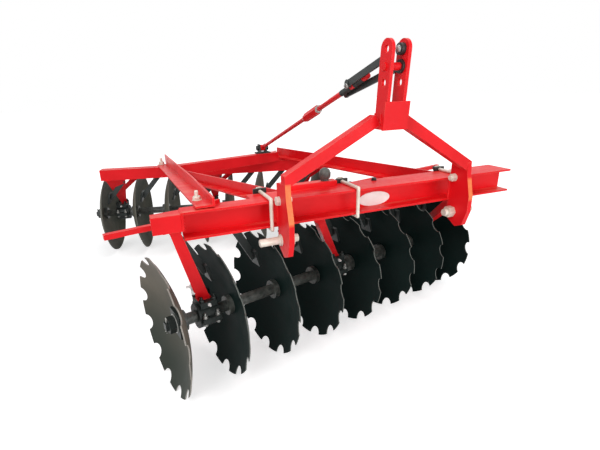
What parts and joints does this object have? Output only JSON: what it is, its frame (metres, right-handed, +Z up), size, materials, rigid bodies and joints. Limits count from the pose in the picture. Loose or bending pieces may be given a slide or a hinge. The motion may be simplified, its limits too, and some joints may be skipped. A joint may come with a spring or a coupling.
{
  "type": "offset disc harrow",
  "caption": "Mounted offset disc harrow with a notched front gang, a plain rear gang, a channel beam frame and a raised three-point hitch mast.",
  "frame": {"origin": "centre of the whole box at the ground", "axes": "+X to the right of travel, +Y rearwards, +Z up; the tractor is on the -Y side"},
  "size_m": [2.0254, 2.3004, 1.282],
  "materials": {
    "red_paint": "gloss",
    "disc_steel": "satin",
    "cast_black": "rough",
    "dark_steel": "satin",
    "zinc_steel": "satin"
  },
  "bodies": {
    "frame": {"a_frame_arm_left": "red_paint", "a_frame_arm_right": "red_paint", "beam_end_bracket": "red_paint", "beam_u_bolts": "zinc_steel", "diagonal_packing": "red_paint", "front_beam": "red_paint", "front_bearing_housings": "cast_black", "front_scrapers": "dark_steel", "front_standard_1": "red_paint", "front_standard_2": "red_paint", "front_standard_3": "red_paint", "hitch_bolt_left": "zinc_steel", "hitch_bolt_right": "zinc_steel", "hitch_plate_left": "red_paint", "hitch_plate_right": "red_paint", "inner_diagonal": "red_paint", "left_side_member": "red_paint", "lower_hitch_pin_left": "zinc_steel", "lower_hitch_pin_right": "zinc_steel", "mast_base_plate": "red_paint", "mast_core": "red_paint", "mast_strap_left": "red_paint", "mast_strap_right": "red_paint", "rear_beam": "red_paint", "rear_bearing_housings": "cast_black", "rear_cross_member": "red_paint", "rear_scrapers": "dark_steel", "rear_standard_1": "red_paint", "rear_standard_2": "red_paint", "rear_standard_3": "red_paint", "right_diagonal": "red_paint", "scraper_bar": "red_paint", "scraper_bar_hangers": "red_paint", "stay_bracket": "dark_steel", "stay_bracket_bolt": "dark_steel", "stay_fork": "dark_steel", "stay_pin": "zinc_steel", "stay_rod": "red_paint", "top_link_bush": "dark_steel", "u_bolt_plates": "red_paint"},
    "front_gang": {"front_axle": "dark_steel", "front_disc_1": "disc_steel", "front_disc_2": "disc_steel", "front_disc_3": "disc_steel", "front_disc_4": "disc_steel", "front_disc_5": "disc_steel", "front_disc_6": "disc_steel", "front_disc_7": "disc_steel", "front_disc_8": "disc_steel", "front_spools": "cast_black"},
    "rear_gang": {"rear_axle": "dark_steel", "rear_disc_1": "disc_steel", "rear_disc_2": "disc_steel", "rear_disc_3": "disc_steel", "rear_disc_4": "disc_steel", "rear_disc_5": "disc_steel", "rear_disc_6": "disc_steel", "rear_disc_7": "disc_steel", "rear_disc_8": "disc_steel", "rear_spools": "cast_black"}
  },
  "joints": [
    {"name": "front_gang_spin", "type": "hinge", "parent": "frame", "child": "front_gang", "pos_m": [-0.66265, -0.87562, 0.281], "axis": [0.9732, 0.23, 0], "continuous": true},
    {"name": "rear_gang_spin", "type": "hinge", "parent": "frame", "child": "rear_gang", "pos_m": [-0.89055, 0.87677, 0.281], "axis": [0.9732, -0.23, 0], "continuous": true}
  ]
}
